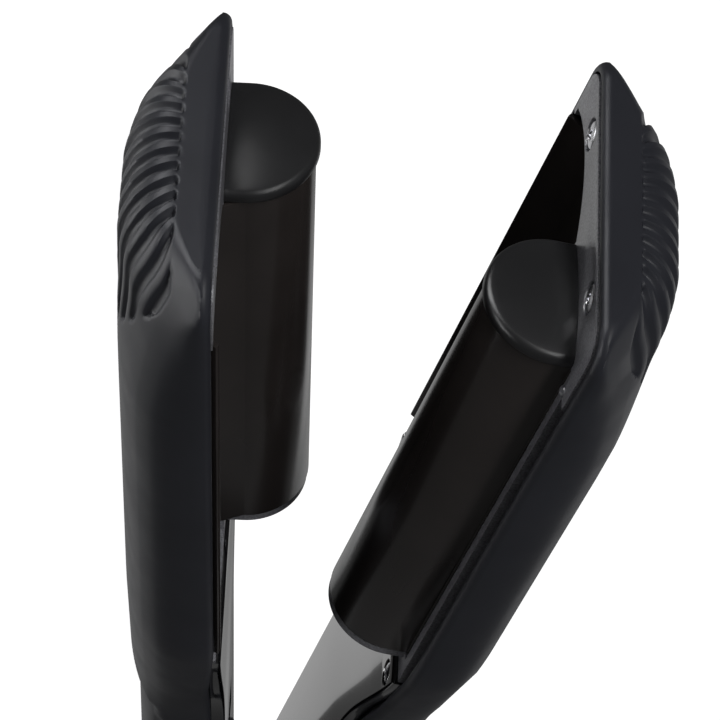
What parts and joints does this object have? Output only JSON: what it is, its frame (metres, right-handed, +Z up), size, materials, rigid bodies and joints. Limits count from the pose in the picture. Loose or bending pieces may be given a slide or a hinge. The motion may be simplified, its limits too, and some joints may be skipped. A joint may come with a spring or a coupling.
{
  "type": "deep-wave hair crimper",
  "caption": "Sprung two-arm hair waving iron: each arm has a glossy half barrel beside a channel, a ribbed grip at its tip and a glossy inner handle cover.",
  "frame": {"origin": "centre of the box's underside, on the surface that the lower arm's back lies on", "axes": "+X towards the tips, +Y to the near side, +Z up, out of the lower arm's inner face"},
  "size_m": [0.2734, 0.071, 0.1023],
  "materials": {
    "soft_touch_black": "soft-touch matte black plastic",
    "textured_black": "fine spark-textured black plastic",
    "ceramic_black": "glossy ceramic coating on metal",
    "cap_black": "satin heat-resistant black plastic",
    "gloss_black": "high-gloss black plastic",
    "display_glass": "smoked glossy window",
    "steel": "bright steel",
    "spring_steel": "spring steel",
    "button_grey": "satin dark grey plastic",
    "board_green": "printed circuit board",
    "heater_white": "insulated heating element"
  },
  "bodies": {
    "lower_arm": {"lower_shell": "soft_touch_black", "lower_plate_frame": "textured_black", "lower_heater_plate": "ceramic_black", "lower_barrel_cap": "cap_black", "lower_inner_cover": "gloss_black", "lower_ptc_heater": "heater_white", "lower_heater_clip": "spring_steel", "lower_temperature_sensor": "steel", "lower_tip_screw_near": "steel", "lower_tip_screw_far": "steel", "lower_cover_screw": "steel", "hinge_pin": "steel", "hinge_cap_near": "soft_touch_black", "hinge_cap_far": "soft_touch_black", "hinge_spring": "spring_steel", "control_board": "board_green", "display_window": "display_glass", "tail_cover": "soft_touch_black", "swivel_retainer": "spring_steel"},
    "upper_arm": {"upper_shell": "soft_touch_black", "upper_plate_frame": "textured_black", "upper_heater_plate": "ceramic_black", "upper_barrel_cap": "cap_black", "upper_inner_cover": "gloss_black", "upper_ptc_heater": "heater_white", "upper_heater_clip": "spring_steel", "upper_thermal_fuse": "steel", "upper_tip_screw_near": "steel", "upper_tip_screw_far": "steel", "upper_cover_screw": "steel"},
    "power_button": {"power_button": "button_grey"},
    "plus_button": {"plus_button": "button_grey"},
    "minus_button": {"minus_button": "button_grey"},
    "cord_swivel": {"cord_swivel": "soft_touch_black"}
  },
  "joints": [
    {"name": "arm_hinge", "type": "hinge", "parent": "lower_arm", "child": "upper_arm", "pos_m": [-0.1067, 0, 0.0223], "axis": [0, -1, 0], "range_deg": [-14.7, 0], "stiffness_Nm_per_rad": 0.6, "springref_deg": 51.57, "deforming": ["hinge_spring"]},
    {"name": "power_press", "type": "slide", "parent": "lower_arm", "child": "power_button", "axis": [0, 0, -1], "range_m": [0, 0.0008], "stiffness_N_per_m": 400, "springref_m": -0.0008},
    {"name": "plus_press", "type": "slide", "parent": "lower_arm", "child": "plus_button", "axis": [0, 0, -1], "range_m": [0, 0.0008], "stiffness_N_per_m": 400, "springref_m": -0.0008},
    {"name": "minus_press", "type": "slide", "parent": "lower_arm", "child": "minus_button", "axis": [0, 0, -1], "range_m": [0, 0.0008], "stiffness_N_per_m": 400, "springref_m": -0.0008},
    {"name": "cord_swivel_turn", "type": "hinge", "parent": "lower_arm", "child": "cord_swivel", "pos_m": [-0.1267, 0, 0.0104], "axis": [-1, 0, 0], "continuous": true}
  ]
}
